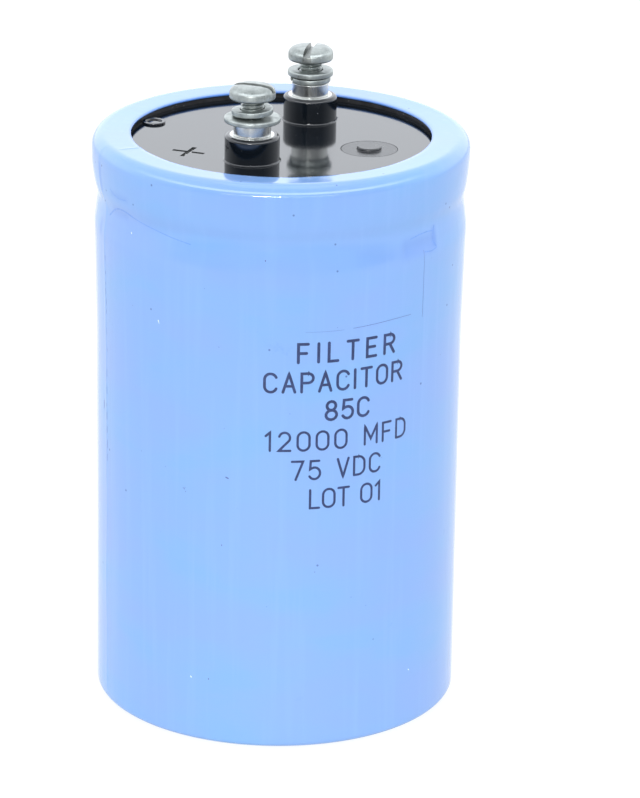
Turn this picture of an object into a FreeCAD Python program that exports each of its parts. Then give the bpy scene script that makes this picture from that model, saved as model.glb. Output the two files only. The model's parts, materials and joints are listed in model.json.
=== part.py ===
import FreeCAD, Part
import math
import os

# Screw-terminal aluminium electrolytic capacitor: a drawn can in a shrink sleeve, closed by a
# moulded header that carries two screw terminals and a rubber vent plug, with the wound element,
# its tabs and its packing inside. All sizes are in millimetres.
#
# Frame: the origin is the middle of the base, on the surface the capacitor stands on. +Z runs up
# the can's axis towards the terminals. The front of the can, where its print goes, faces -Y.

INCH = 25.4

# Can
CAN_RADIUS = 1.5 * INCH
CAN_WALL = 0.9
CAN_FLOOR = 1.2
CAN_EDGE_ROUNDING = 1.6
CAN_RIM_RADIUS = 38.55
CAN_RIM_TOP = 122.6
BEAD_HEIGHT = 110.5
BEAD_RADIUS = 36.3
BEAD_HALF_WIDTH = 2.9
RIM_FLARE_HEIGHT = 4.0
CURL_INNER_RADIUS = 34.6
CURL_DEPTH = 1.6

# Shrink sleeve and the disc under the can
SLEEVE_WALL = 0.4
SLEEVE_RADIUS = CAN_RADIUS + SLEEVE_WALL
SLEEVE_TOP = 123.1
SLEEVE_TOP_OPENING = 31.3
SLEEVE_BASE_OPENING = 31.0
SLEEVE_RIM_RADIUS = 39.35
SLEEVE_STRAIGHT_TOP = 78.0
SLEEVE_EDGE_ROUNDING = 1.2
SLEEVE_SHOULDER_ROUNDING = 2.1
BASE_DISC_THICKNESS = 0.4
BASE_DISC_RADIUS = 36.4

# Header and gasket
HEADER_RADIUS = 36.9
HEADER_BOTTOM = 112.6
HEADER_FACE = 121.4
HEADER_FACE_RADIUS = 31.8
RABBET_FLOOR = 119.75
GASKET_CLEARANCE = 0.1

# Terminals: bosses on the header, inserts tapped 10-32
TERMINAL_SPACING = (1 + 5 / 16) * INCH
TERMINAL_LINE_ANGLE = 69.0
BOSS_RADIUS = 5.65
BOSS_HEIGHT = 5.4
BOSS_EDGE_ROUNDING = 0.7
BOSS_FOOT_FILLET = 0.35
POST_RADIUS = 3.85
POST_HEIGHT = 2.8
POST_FLANGE_RADIUS = 4.65
THREAD_RADIUS = 4.826 / 2
THREAD_CLEARANCE = 0.05
TAPPED_DEPTH = 10.0
STEM_RADIUS = 3.4
STEM_BOTTOM = 111.2
COLLAR_RADIUS = 4.4
COLLAR_BOTTOM = 3.0
COLLAR_TOP = 7.0

# Terminal hardware
SCREW_LENGTH = 3 / 8 * INCH
SCREW_HEAD_RADIUS = 4.74
SCREW_HEAD_HEIGHT = 2.9
SCREW_HEAD_UNDERSIDE = 134.4
SLOT_WIDTH = 1.5
SLOT_DEPTH = 1.4
POSITIVE_SLOT_ANGLE = -20.0
NEGATIVE_SLOT_ANGLE = 79.0
WASHER_BORE_RADIUS = 2.65
LOCK_WASHER_RADIUS = 4.24
LOCK_WASHER_BORE_RADIUS = 2.55
LOCK_WASHER_THICKNESS = 1.19
LOCK_WASHER_GAP_DEGREES = 16.0
POSITIVE_LOCK_RISE = 0.9
POSITIVE_LOCK_GAP_ANGLE = 62.0
NEGATIVE_LOCK_RISE = 0.3
NEGATIVE_LOCK_GAP_ANGLE = 200.0
POSITIVE_FLAT_WASHER = (5.8, 1.05)
NEGATIVE_FLAT_WASHER = (4.8, 1.2)
FLAT_WASHER_ROUNDING = 0.2

# Header details
VENT_CENTRE = (18.2, -6.7)
VENT_FLANGE_RADIUS = 5.85
VENT_FLANGE_THICKNESS = 1.2
VENT_NUB_RADIUS = 2.55
VENT_NUB_HEIGHT = 0.6
VENT_STEM_RADIUS = 2.2
PLUS_CENTRE = (-19.1, -10.5)
PLUS_LENGTH = 7.0
PLUS_WIDTH = 1.0
PLUS_DEPTH = 0.35
PIP_CENTRE = (-26.9, 10.8)
PIP_RADIUS = 2.45
PIP_HEIGHT = 0.45

# Wound element. Real foil is about 0.1 mm thick, so each drawn turn stands for many.
WINDING_BOTTOM = 5.0
WINDING_TOP = 101.0
WINDING_BORE = 4.0
WINDING_TURNS = 7
WINDING_PITCH = 3.7
LAYER_GAP = 0.1
ANODE_THICKNESS = 1.0
CATHODE_THICKNESS = 0.8
PAPER_THICKNESS = 0.75
FOIL_INSET = 3.0
WRAP_THICKNESS = 0.4
TAPE_THICKNESS = 0.15
TAPE_WIDTH = 19.0
TOP_DISC_THICKNESS = 0.6
BOTTOM_DISC_RADIUS = 36.0
BOTTOM_DISC_THICKNESS = 0.4
COMPOUND_DEPTH = 13.0

# Tabs and rivets
TAB_WIDTH = 6.35
TAB_THICKNESS = 0.25
TAB_BEND = 0.8
TAB_TURN = 4
TAB_SET_IN = 0.1
RIVET_HEAD_RADIUS = 2.8
RIVET_HEAD_THICKNESS = 0.8
RIVET_SHANK_RADIUS = 1.6
RIVET_SHANK_LENGTH = 3.2

AXIS = FreeCAD.Vector(0, 0, 1)
CENTRE = FreeCAD.Vector(0, 0, 0)


def point(x, y, z):
    return FreeCAD.Vector(x, y, z)


def rounded_wire(corners):
    """A closed wire in the XZ plane through (radius, height, rounding) corners."""
    places = [point(radius, 0, height) for radius, height, _ in corners]
    arcs = []
    for index, (_, _, rounding) in enumerate(corners):
        corner = places[index]
        before = (places[index - 1] - corner).normalize()
        after = (places[(index + 1) % len(places)] - corner).normalize()
        half_angle = before.getAngle(after) / 2
        reach = rounding / math.tan(half_angle)
        bisector = (before + after).normalize() if rounding else before
        middle = corner + bisector * (rounding / math.sin(half_angle) - rounding)
        arcs.append((corner + before * reach, middle, corner + after * reach, rounding))
    edges = []
    for index, (start, middle, end, rounding) in enumerate(arcs):
        if rounding:
            edges.append(Part.Arc(start, middle, end).toShape())
        following = arcs[(index + 1) % len(arcs)][0]
        if end.distanceToPoint(following) > 1e-6:
            edges.append(Part.makeLine(end, following))
    return Part.Wire(edges)


def turned(corners):
    """The solid that an outline of (radius, height, rounding) corners sweeps about +Z."""
    return Part.Face(rounded_wire(corners)).revolve(CENTRE, AXIS, 360)


def rod(radius, bottom, top, x=0.0, y=0.0):
    return Part.makeCylinder(radius, top - bottom, point(x, y, bottom), AXIS)


def ring(bore, radius, bottom, top, edge=0.0):
    """A flat ring with its outer edges rounded."""
    return turned([(bore, bottom, 0), (radius, bottom, edge), (radius, top, edge), (bore, top, 0)])


def terminal_place(side):
    """Where a terminal stands: side is -1 for the positive one and +1 for the negative one."""
    angle = math.radians(TERMINAL_LINE_ANGLE)
    reach = side * TERMINAL_SPACING / 2
    return reach * math.cos(angle), reach * math.sin(angle)


def at_terminal(shape, side, turn=0.0):
    """Turns a shape made about the origin's axis and moves it to a terminal's axis."""
    x, y = terminal_place(side)
    shape.rotate(CENTRE, AXIS, turn)
    shape.translate(point(x, y, 0))
    return shape


# --- the shell -----------------------------------------------------------------------------


def make_can():
    """Drawn can: floor, wall, bead that the header rests on, and rim curled into the gasket."""
    base = SLEEVE_WALL + BASE_DISC_THICKNESS
    inner = CAN_RADIUS - CAN_WALL
    rim_inner = CAN_RIM_RADIUS - CAN_WALL
    roof = CAN_RIM_TOP - CAN_WALL
    curl_end = CAN_RIM_TOP - CURL_DEPTH
    bead_low = BEAD_HEIGHT - BEAD_HALF_WIDTH
    bead_high = BEAD_HEIGHT + BEAD_HALF_WIDTH
    # the bead's flanks slope, so inside them the wall's corners shift and its crest lies deeper
    bead_shift = 0.26
    bead_inner = BEAD_RADIUS - CAN_WALL * 1.18
    flare_end = CAN_RIM_TOP - RIM_FLARE_HEIGHT
    return turned(
        [
            (0, base, 0),
            (CAN_RADIUS, base, CAN_EDGE_ROUNDING),
            (CAN_RADIUS, bead_low, 2.0),
            (BEAD_RADIUS, BEAD_HEIGHT, 1.4),
            (CAN_RADIUS, bead_high, 2.0),
            (CAN_RIM_RADIUS, flare_end, 20.0),
            (CAN_RIM_RADIUS, CAN_RIM_TOP, 1.8),
            (CURL_INNER_RADIUS, CAN_RIM_TOP, 0.6),
            (CURL_INNER_RADIUS, curl_end, 0.2),
            (CURL_INNER_RADIUS + CAN_WALL, curl_end, 0.2),
            (CURL_INNER_RADIUS + CAN_WALL, roof, 0.2),
            (rim_inner, roof, 0.9),
            (rim_inner, flare_end, 20.0),
            (inner, bead_high + bead_shift, 1.0),
            (bead_inner, BEAD_HEIGHT, 2.2),
            (inner, bead_low - bead_shift, 1.0),
            (inner, base + CAN_FLOOR, CAN_EDGE_ROUNDING - CAN_WALL),
            (0, base + CAN_FLOOR, 0),
        ]
    )


def make_sleeve():
    """Shrink sleeve: turned in under the base, bridging the bead, and lapped over the rim."""
    wall = SLEEVE_WALL
    flare = [
        (SLEEVE_RADIUS, SLEEVE_STRAIGHT_TOP, 1500.0),
        (SLEEVE_RADIUS + 0.3, BEAD_HEIGHT - 6.0, 30.0),
        (SLEEVE_RADIUS - 0.3, BEAD_HEIGHT, 13.0),
        (SLEEVE_RIM_RADIUS - 0.3, BEAD_HEIGHT + 4.2, 14.0),
        (SLEEVE_RIM_RADIUS, SLEEVE_TOP - 3.3, 25.0),
    ]
    lip = 0.12
    outside = [(SLEEVE_BASE_OPENING, 0, 0), (SLEEVE_RADIUS, 0, SLEEVE_EDGE_ROUNDING)]
    outside += flare
    outside += [
        (SLEEVE_RIM_RADIUS, SLEEVE_TOP, SLEEVE_SHOULDER_ROUNDING),
        (SLEEVE_TOP_OPENING, SLEEVE_TOP, lip),
    ]
    inside = [
        (SLEEVE_TOP_OPENING, SLEEVE_TOP - wall, lip),
        (SLEEVE_RIM_RADIUS - wall, SLEEVE_TOP - wall, SLEEVE_SHOULDER_ROUNDING - wall),
    ]
    inside += [(radius - wall, height, rounding) for radius, height, rounding in reversed(flare)]
    inside += [(CAN_RADIUS, wall, SLEEVE_EDGE_ROUNDING - wall), (SLEEVE_BASE_OPENING, wall, 0)]
    return turned(outside + inside)


def make_base_disc():
    return rod(BASE_DISC_RADIUS, SLEEVE_WALL, SLEEVE_WALL + BASE_DISC_THICKNESS)


# --- header, gasket and vent ----------------------------------------------------------------


def polarity_mark():
    """The sunk plus sign beside the positive terminal, one arm along the line of terminals."""
    arms = []
    for turn in (0, 90):
        arm = Part.makeBox(
            PLUS_LENGTH,
            PLUS_WIDTH,
            PLUS_DEPTH * 2,
            point(-PLUS_LENGTH / 2, -PLUS_WIDTH / 2, HEADER_FACE - PLUS_DEPTH),
        )
        arm.rotate(CENTRE, AXIS, TERMINAL_LINE_ANGLE + turn)
        arms.append(arm)
    mark = arms[0].fuse(arms[1])
    mark.translate(point(*PLUS_CENTRE, 0))
    return mark


def terminal_boss():
    """Black boss moulded on the header, with a rounded top edge and a small fillet at its foot."""
    skirt = BOSS_RADIUS + BOSS_FOOT_FILLET * 2
    return turned(
        [
            (0, HEADER_FACE - 1.0, 0),
            (skirt, HEADER_FACE - 1.0, 0),
            (skirt, HEADER_FACE, 0),
            (BOSS_RADIUS, HEADER_FACE, BOSS_FOOT_FILLET),
            (BOSS_RADIUS, HEADER_FACE + BOSS_HEIGHT, BOSS_EDGE_ROUNDING),
            (0, HEADER_FACE + BOSS_HEIGHT, 0),
        ]
    )


def moulding_pip():
    """Low round mark that the mould leaves near the edge of the face."""
    pip = turned(
        [
            (0, HEADER_FACE - 1.0, 0),
            (PIP_RADIUS, HEADER_FACE - 1.0, 0),
            (PIP_RADIUS, HEADER_FACE + PIP_HEIGHT, 0.2),
            (PIP_RADIUS - 0.7, HEADER_FACE + PIP_HEIGHT, 0.1),
            (PIP_RADIUS - 0.9, HEADER_FACE + 0.15, 0.1),
            (0, HEADER_FACE + 0.15, 0),
        ]
    )
    pip.translate(point(*PIP_CENTRE, 0))
    return pip


def make_header(inserts, vent_hole):
    """Moulded header with its rabbet, bosses, polarity mark and vent hole."""
    header = turned(
        [
            (0, HEADER_BOTTOM, 0),
            (HEADER_RADIUS, HEADER_BOTTOM, 1.4),
            (HEADER_RADIUS, RABBET_FLOOR, 0.2),
            (HEADER_FACE_RADIUS, RABBET_FLOOR, 0.2),
            (HEADER_FACE_RADIUS, HEADER_FACE, 0.25),
            (0, HEADER_FACE, 0),
        ]
    )
    for side in (-1, 1):
        header = header.fuse(at_terminal(terminal_boss(), side))
    header = header.fuse(moulding_pip())
    header = header.cut(polarity_mark())
    header = header.cut(vent_hole)
    for insert in inserts:
        header = header.cut(insert)
    return header.removeSplitter()


def make_gasket():
    """Rubber ring in the header's rabbet, with the can's curled edge pressed into it."""
    gap = GASKET_CLEARANCE
    bore = HEADER_FACE_RADIUS + gap
    groove_inner = CURL_INNER_RADIUS - gap
    groove_outer = CURL_INNER_RADIUS + CAN_WALL + gap
    groove_floor = CAN_RIM_TOP - CURL_DEPTH - gap
    shoulder = CAN_RIM_TOP - CAN_WALL - gap
    bottom = RABBET_FLOOR + gap / 2
    return turned(
        [
            (bore, bottom, 0.15),
            (HEADER_RADIUS, bottom, 0.15),
            (HEADER_RADIUS, shoulder, 0.3),
            (groove_outer, shoulder, 0.1),
            (groove_outer, groove_floor, 0.1),
            (groove_inner, groove_floor, 0.1),
            (groove_inner, CAN_RIM_TOP, 0.2),
            (bore, CAN_RIM_TOP, 0.3),
        ]
    )


def vent_outline(flange, stem, grip):
    """Corners of the vent plug or, a little larger, of the hole it fills."""
    flange_floor = HEADER_FACE - VENT_FLANGE_THICKNESS
    return [
        (0, HEADER_BOTTOM - 1.4, 0),
        (grip - 0.6, HEADER_BOTTOM - 1.4, 0),
        (grip, HEADER_BOTTOM - 0.1, 0),
        (stem, HEADER_BOTTOM - 0.1, 0),
        (stem, flange_floor, 0),
        (flange, flange_floor, 0),
    ]


def make_vent_plug():
    """Rubber safety vent: flush flange, central nub, stem and the bead that holds it in."""
    top = HEADER_FACE + VENT_NUB_HEIGHT
    corners = vent_outline(VENT_FLANGE_RADIUS, VENT_STEM_RADIUS, VENT_STEM_RADIUS + 0.9)
    corners += [
        (VENT_FLANGE_RADIUS, HEADER_FACE, 0.08),
        (VENT_NUB_RADIUS, HEADER_FACE, 0.15),
        (VENT_NUB_RADIUS, top, 0.3),
        (0, top, 0),
    ]
    plug = turned(corners)
    plug.translate(point(*VENT_CENTRE, 0))
    return plug


def make_vent_hole():
    """Stepped hole: the flange's seat has a hairline of clearance round it."""
    seat = rod(VENT_FLANGE_RADIUS + 0.1, HEADER_FACE - VENT_FLANGE_THICKNESS, HEADER_FACE + 1)
    shaft = rod(VENT_STEM_RADIUS, HEADER_BOTTOM - 1, HEADER_FACE)
    hole = seat.fuse(shaft)
    hole.translate(point(*VENT_CENTRE, 0))
    return hole


# --- terminals and their hardware -----------------------------------------------------------


def insert_blank():
    """Aluminium insert without its bores: stem, anchoring collar, flange and post."""
    flange_bottom = HEADER_FACE + BOSS_HEIGHT - 0.3
    flange_top = HEADER_FACE + BOSS_HEIGHT + 0.1
    post_top = HEADER_FACE + BOSS_HEIGHT + POST_HEIGHT
    return turned(
        [
            (0, STEM_BOTTOM, 0),
            (STEM_RADIUS, STEM_BOTTOM, 0),
            (STEM_RADIUS, HEADER_BOTTOM + COLLAR_BOTTOM, 0),
            (COLLAR_RADIUS, HEADER_BOTTOM + COLLAR_BOTTOM, 0),
            (COLLAR_RADIUS, HEADER_BOTTOM + COLLAR_TOP, 0),
            (STEM_RADIUS, HEADER_BOTTOM + COLLAR_TOP, 0),
            (STEM_RADIUS, flange_bottom, 0),
            (POST_FLANGE_RADIUS, flange_bottom, 0),
            (POST_FLANGE_RADIUS, flange_top, 0.12),
            (POST_RADIUS, flange_top, 0.1),
            (POST_RADIUS, post_top, 0.2),
            (0, post_top, 0),
        ]
    )


def make_insert(side):
    """Insert with its tapped hole above and the rivet's hole below."""
    post_top = HEADER_FACE + BOSS_HEIGHT + POST_HEIGHT
    bore = THREAD_RADIUS + THREAD_CLEARANCE
    blank = insert_blank()
    blank = blank.cut(rod(bore, post_top - TAPPED_DEPTH, post_top + 1))
    blank = blank.cut(Part.makeCone(bore, bore + 0.4, 0.4, point(0, 0, post_top - 0.4), AXIS))
    rivet_hole_top = STEM_BOTTOM + RIVET_SHANK_LENGTH - TAB_THICKNESS
    blank = blank.cut(rod(RIVET_SHANK_RADIUS, STEM_BOTTOM - 1, rivet_hole_top))
    return at_terminal(blank, side)


def make_screw(side, slot_angle):
    """Slotted pan-head machine screw. Its thread is drawn smooth, at the major diameter."""
    underside = SCREW_HEAD_UNDERSIDE
    top = underside + SCREW_HEAD_HEIGHT
    tip = underside - SCREW_LENGTH
    screw = turned(
        [
            (0, tip, 0),
            (THREAD_RADIUS, tip, 0.4),
            (THREAD_RADIUS, underside, 0),
            (SCREW_HEAD_RADIUS, underside, 0.5),
            (SCREW_HEAD_RADIUS, top - 0.35, 1.5),
            (SCREW_HEAD_RADIUS * 0.35, top, 4.0),
            (0, top, 0),
        ]
    )
    slot = Part.makeBox(
        SCREW_HEAD_RADIUS * 3,
        SLOT_WIDTH,
        SLOT_DEPTH + 1,
        point(-SCREW_HEAD_RADIUS * 1.5, -SLOT_WIDTH / 2, top - SLOT_DEPTH),
    )
    return at_terminal(screw.cut(slot), side, slot_angle)


def helix_edge(radius, height, rise, start, end):
    """A smooth curve that climbs by rise as it goes round from start to end degrees."""
    steps = 36
    places = []
    for step in range(steps + 1):
        share = step / steps
        angle = math.radians(start + (end - start) * share)
        places.append(point(radius * math.cos(angle), radius * math.sin(angle), height + rise * share))
    curve = Part.BSplineCurve()
    curve.interpolate(places)
    return curve.toShape()


def make_lock_washer(side, bottom, rise, gap_angle):
    """Split spring washer: a square section that climbs by rise from one cut end to the other."""
    half_gap = LOCK_WASHER_GAP_DEGREES / 2
    start = gap_angle + half_gap
    end = gap_angle + 360 - half_gap
    sides = []
    for height in (bottom, bottom + LOCK_WASHER_THICKNESS):
        for radius in (LOCK_WASHER_BORE_RADIUS, LOCK_WASHER_RADIUS):
            sides.append(helix_edge(radius, height, rise, start, end))
    low_inner, low_outer, high_inner, high_outer = sides
    around = (low_inner, low_outer, high_outer, high_inner)
    faces = []
    for index, edge in enumerate(around):
        faces.append(Part.makeRuledSurface(edge, around[(index + 1) % 4]))
    for which in (0, 1):
        corners = [edge.Vertexes[which].Point for edge in around]
        faces.append(Part.Face(Part.makePolygon(corners + corners[:1])))
    shell = Part.makeShell(faces)
    shell.sewShape()
    washer = Part.makeSolid(shell)
    if washer.Volume < 0:
        washer.reverse()
    return at_terminal(washer, side)


def make_flat_washer(side, size, bottom):
    radius, thickness = size
    top = bottom + thickness
    return at_terminal(ring(WASHER_BORE_RADIUS, radius, bottom, top, FLAT_WASHER_ROUNDING), side)


# --- the wound element ----------------------------------------------------------------------


def half_turn(offset, index):
    """Centre and radius of one half turn. Two centres, a quarter pitch each side, make the spiral."""
    shift = WINDING_PITCH / 4
    centre = -shift if index % 2 == 0 else shift
    return centre, WINDING_BORE + offset + 2 * shift * index


def spiral_arcs(offset, height):
    """The half turns of a strip's edge, from the inside out."""
    arcs = []
    for index in range(2 * WINDING_TURNS):
        centre, radius = half_turn(offset, index)
        heading = 1 if index % 2 == 0 else -1
        start = point(centre + heading * radius, 0, height)
        middle = point(centre, heading * radius, height)
        end = point(centre - heading * radius, 0, height)
        arcs.append(Part.Arc(start, middle, end).toShape())
    return arcs


def wound_strip(offset, thickness, bottom, top):
    """One strip of the winding: offset is how far it lies outside the innermost one."""
    inner = spiral_arcs(offset, bottom)
    outer = spiral_arcs(offset + thickness, bottom)
    start = Part.makeLine(inner[0].Vertexes[0].Point, outer[0].Vertexes[0].Point)
    end = Part.makeLine(inner[-1].Vertexes[-1].Point, outer[-1].Vertexes[-1].Point)
    outline = Part.Wire(Part.sortEdges(inner + [end] + outer + [start])[0])
    return Part.Face(outline).extrude(point(0, 0, top - bottom))


def winding_layout():
    """(name, offset, thickness, is it foil?) of the strips that are wound together."""
    strips = []
    offset = 0.0
    for name, thickness, foil in (
        ("anode_foil", ANODE_THICKNESS, True),
        ("separator_inner", PAPER_THICKNESS, False),
        ("cathode_foil", CATHODE_THICKNESS, True),
        ("separator_outer", PAPER_THICKNESS, False),
    ):
        strips.append((name, offset, thickness, foil))
        offset += thickness + LAYER_GAP
    return strips


def tab_radius(side):
    """How far from the can's axis a tab leaves its foil: -1 is the anode's side, +1 the cathode's."""
    strips = {name: (offset, thickness) for name, offset, thickness, _ in winding_layout()}
    offset, thickness = strips["anode_foil" if side < 0 else "cathode_foil"]
    index = 2 * TAB_TURN + (1 if side < 0 else 0)
    centre, radius = half_turn(offset + thickness / 2, index)
    along = centre * math.cos(math.radians(towards(side)))
    return along + math.sqrt(radius**2 - centre**2 + along**2) - TAB_SET_IN


def wrap_bore():
    """Inside radius of the paper wrap, just clear of the outermost strip's last half turn."""
    _, offset, thickness, _ = winding_layout()[-1]
    centre, radius = half_turn(offset + thickness, 2 * WINDING_TURNS - 1)
    return centre + radius + LAYER_GAP


def towards(side):
    """The angle of a terminal as seen from the can's axis."""
    return TERMINAL_LINE_ANGLE + (180 if side < 0 else 0)


def make_tab(side):
    """Bent aluminium tab, from its foil's edge up and across to the foot of the terminal."""
    foot = WINDING_TOP - FOIL_INSET + 0.02
    outer = tab_radius(side) + TAB_THICKNESS / 2
    inner = outer - TAB_THICKNESS
    reach = TERMINAL_SPACING / 2 - STEM_RADIUS
    under = STEM_BOTTOM - TAB_THICKNESS
    wire = rounded_wire(
        [
            (outer, foot, 0),
            (outer, STEM_BOTTOM, TAB_BEND),
            (reach, STEM_BOTTOM, 0),
            (reach, under, 0),
            (inner, under, TAB_BEND - TAB_THICKNESS),
            (inner, foot, 0),
        ]
    )
    tab = Part.Face(wire).extrude(point(0, TAB_WIDTH, 0))
    tab.translate(point(0, -TAB_WIDTH / 2, 0))
    tab = tab.cut(rod(RIVET_SHANK_RADIUS, under - 1, STEM_BOTTOM + 1, TERMINAL_SPACING / 2))
    tab.rotate(CENTRE, AXIS, towards(side))
    return tab


def make_rivet(side):
    """Rivet that clamps the tab against the foot of the insert."""
    under = STEM_BOTTOM - TAB_THICKNESS
    rivet = turned(
        [
            (0, under - RIVET_HEAD_THICKNESS, 0),
            (RIVET_HEAD_RADIUS, under - RIVET_HEAD_THICKNESS, 0.35),
            (RIVET_HEAD_RADIUS, under, 0),
            (RIVET_SHANK_RADIUS, under, 0),
            (RIVET_SHANK_RADIUS, under + RIVET_SHANK_LENGTH, 0),
            (0, under + RIVET_SHANK_LENGTH, 0),
        ]
    )
    return at_terminal(rivet, side)


def make_top_disc():
    """Card disc over the winding, with a slot for each tab."""
    bottom = WINDING_TOP + 0.3
    disc = rod(CAN_RADIUS - CAN_WALL - 1.2, bottom, bottom + TOP_DISC_THICKNESS)
    length = 3.0
    width = TAB_WIDTH + 1.6
    for side in (-1, 1):
        corner = point(tab_radius(side) - length / 2, -width / 2, bottom - 1.0)
        slot = Part.makeBox(length, width, TOP_DISC_THICKNESS + 2.0, corner)
        slot.rotate(CENTRE, AXIS, towards(side))
        disc = disc.cut(slot)
    return disc


def make_compound():
    """Anchoring compound, poured into the can's foot round the end of the winding."""
    floor = SLEEVE_WALL + BASE_DISC_THICKNESS + CAN_FLOOR + 0.5
    gap = 0.05
    outer = CAN_RADIUS - CAN_WALL - gap
    inner = wrap_bore() + WRAP_THICKNESS + gap
    top = WINDING_BOTTOM + COMPOUND_DEPTH
    return turned(
        [
            (0, floor, 0),
            (outer, floor, 1.2),
            (outer, top, 0.5),
            (inner, top - 1.0, 0.5),
            (inner, WINDING_BOTTOM - gap, 0),
            (0, WINDING_BOTTOM - gap, 0),
        ]
    )


def make_winding():
    parts = {}
    for name, offset, thickness, foil in winding_layout():
        inset = FOIL_INSET if foil else 0.0
        parts[name] = wound_strip(offset, thickness, WINDING_BOTTOM + inset, WINDING_TOP - inset)
    wrap = wrap_bore()
    parts["winding_wrap"] = ring(wrap, wrap + WRAP_THICKNESS, WINDING_BOTTOM, WINDING_TOP)
    tape_bore = wrap + WRAP_THICKNESS + 0.02
    tape_bottom = (WINDING_BOTTOM + WINDING_TOP - TAPE_WIDTH) / 2
    tape_top = tape_bottom + TAPE_WIDTH
    parts["closing_tape"] = ring(tape_bore, tape_bore + TAPE_THICKNESS, tape_bottom, tape_top)
    return parts


def make_terminal_stack():
    """Each terminal's loose hardware: washers under a screw that isn't tightened down."""
    post_top = HEADER_FACE + BOSS_HEIGHT + POST_HEIGHT
    positive_lock_bottom = post_top + POSITIVE_FLAT_WASHER[1]
    negative_flat_bottom = post_top + LOCK_WASHER_THICKNESS + NEGATIVE_LOCK_RISE + 0.02
    return {
        "terminal_screw_positive": make_screw(-1, POSITIVE_SLOT_ANGLE),
        "terminal_screw_negative": make_screw(1, NEGATIVE_SLOT_ANGLE),
        "flat_washer_positive": make_flat_washer(-1, POSITIVE_FLAT_WASHER, post_top),
        "flat_washer_negative": make_flat_washer(1, NEGATIVE_FLAT_WASHER, negative_flat_bottom),
        "lock_washer_positive": make_lock_washer(
            -1, positive_lock_bottom, POSITIVE_LOCK_RISE, POSITIVE_LOCK_GAP_ANGLE
        ),
        "lock_washer_negative": make_lock_washer(
            1, post_top, NEGATIVE_LOCK_RISE, NEGATIVE_LOCK_GAP_ANGLE
        ),
    }


def main():
    os.makedirs("parts", exist_ok=True)
    floor = SLEEVE_WALL + BASE_DISC_THICKNESS + CAN_FLOOR
    parts = {
        "can": make_can(),
        "sleeve": make_sleeve(),
        "base_disc": make_base_disc(),
        "gasket_ring": make_gasket(),
        "vent_plug": make_vent_plug(),
        "top_insulating_disc": make_top_disc(),
        "bottom_insulating_disc": rod(BOTTOM_DISC_RADIUS, floor, floor + BOTTOM_DISC_THICKNESS),
        "anchoring_compound": make_compound(),
    }
    parts.update(make_winding())
    blanks = [at_terminal(insert_blank(), side) for side in (-1, 1)]
    parts["header"] = make_header(blanks, make_vent_hole())
    for side, polarity, foil in ((-1, "positive", "anode"), (1, "negative", "cathode")):
        parts["terminal_insert_" + polarity] = make_insert(side)
        parts["tab_rivet_" + polarity] = make_rivet(side)
        parts[foil + "_tab"] = make_tab(side)
    parts.update(make_terminal_stack())
    for name, shape in parts.items():
        solid = shape.Solids[0]
        solid.exportStep("parts/" + name + ".step")
        print(name, "valid" if solid.isValid() else "BROKEN", round(solid.Volume, 1), "mm3")


main()
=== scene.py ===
"""A screw-terminal electrolytic can capacitor in a light-blue shrink sleeve, on a pale floor.

Lengths are in millimetres unless a comment says otherwise, and MM turns them into Blender's
metres. Places on the sleeve are given as an angle in degrees from the front (-Y) towards +X,
and a height.
"""

import json
import math
import random

import bmesh
import bpy
import numpy as np
from mathutils import Matrix, Vector, noise


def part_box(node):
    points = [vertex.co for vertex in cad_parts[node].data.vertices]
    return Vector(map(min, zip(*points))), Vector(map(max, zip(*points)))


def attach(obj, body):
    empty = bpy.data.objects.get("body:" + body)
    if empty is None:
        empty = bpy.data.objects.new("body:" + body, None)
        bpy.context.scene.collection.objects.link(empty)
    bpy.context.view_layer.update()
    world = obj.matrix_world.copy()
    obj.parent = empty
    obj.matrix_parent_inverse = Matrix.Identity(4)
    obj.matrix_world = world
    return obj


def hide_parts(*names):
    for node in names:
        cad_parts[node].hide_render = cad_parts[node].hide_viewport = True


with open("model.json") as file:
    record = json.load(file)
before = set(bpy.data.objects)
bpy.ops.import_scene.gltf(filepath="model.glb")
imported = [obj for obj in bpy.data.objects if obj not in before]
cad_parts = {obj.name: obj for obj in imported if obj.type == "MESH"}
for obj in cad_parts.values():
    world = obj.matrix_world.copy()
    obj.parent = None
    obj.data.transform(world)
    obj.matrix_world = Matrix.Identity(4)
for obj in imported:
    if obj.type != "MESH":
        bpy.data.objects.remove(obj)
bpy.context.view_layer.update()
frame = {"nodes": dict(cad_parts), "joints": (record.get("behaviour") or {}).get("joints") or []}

MM = 0.001
BODY = "capacitor"
NODES = frame["nodes"]
JOINTS = {joint["name"]: joint for joint in frame["joints"]}


def top_of(node):
    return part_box(node)[1].z / MM


def bottom_of(node):
    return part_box(node)[0].z / MM


def radius_of(node):
    low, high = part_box(node)
    return (high.x - low.x) / 2 / MM


def terminal_axis(polarity):
    """Where a terminal's axis stands, in millimetres."""
    place = JOINTS[polarity + "_screw_turn"]["pos_m"]
    return place[0] / MM, place[1] / MM


# Sleeve
SLEEVE_TOP = top_of("sleeve")
SLEEVE_RADIUS = 38.5
SLEEVE_WALL = 0.4
TOP_OPENING_RADIUS = 31.3
BASE_OPENING_RADIUS = 31.0
BASE_CORNER = 1.2
SHOULDER = 2.6
LIP_ROUNDING = 0.15
AROUND = 640  # columns of the sleeve's mesh

# Height of the header's face, between the bosses
HEADER_FACE = 121.4

# Print
LETTER_HEIGHT = 3.95
LETTER_WIDTH = 2.45
LINE_PITCH = 6.35
FIRST_BASELINE = 85.4
INK_THICKNESS = 0.02

# Screws, 10-32
THREAD_PITCH = 25.4 / 32
THREAD_RADIUS = 2.413
THREAD_DEPTH = 0.49
SCREW_HEAD_RADIUS = 4.74
SCREW_HEAD_HEIGHT = 2.9
SLOT_WIDTH = 1.5
SLOT_DEPTH = 1.4
SLOT_ANGLES = {"positive": -20.0, "negative": 79.0}
HEAD_SEGMENTS = 96
THREAD_SEGMENTS = 72
ROWS_PER_PITCH = 14

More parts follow.
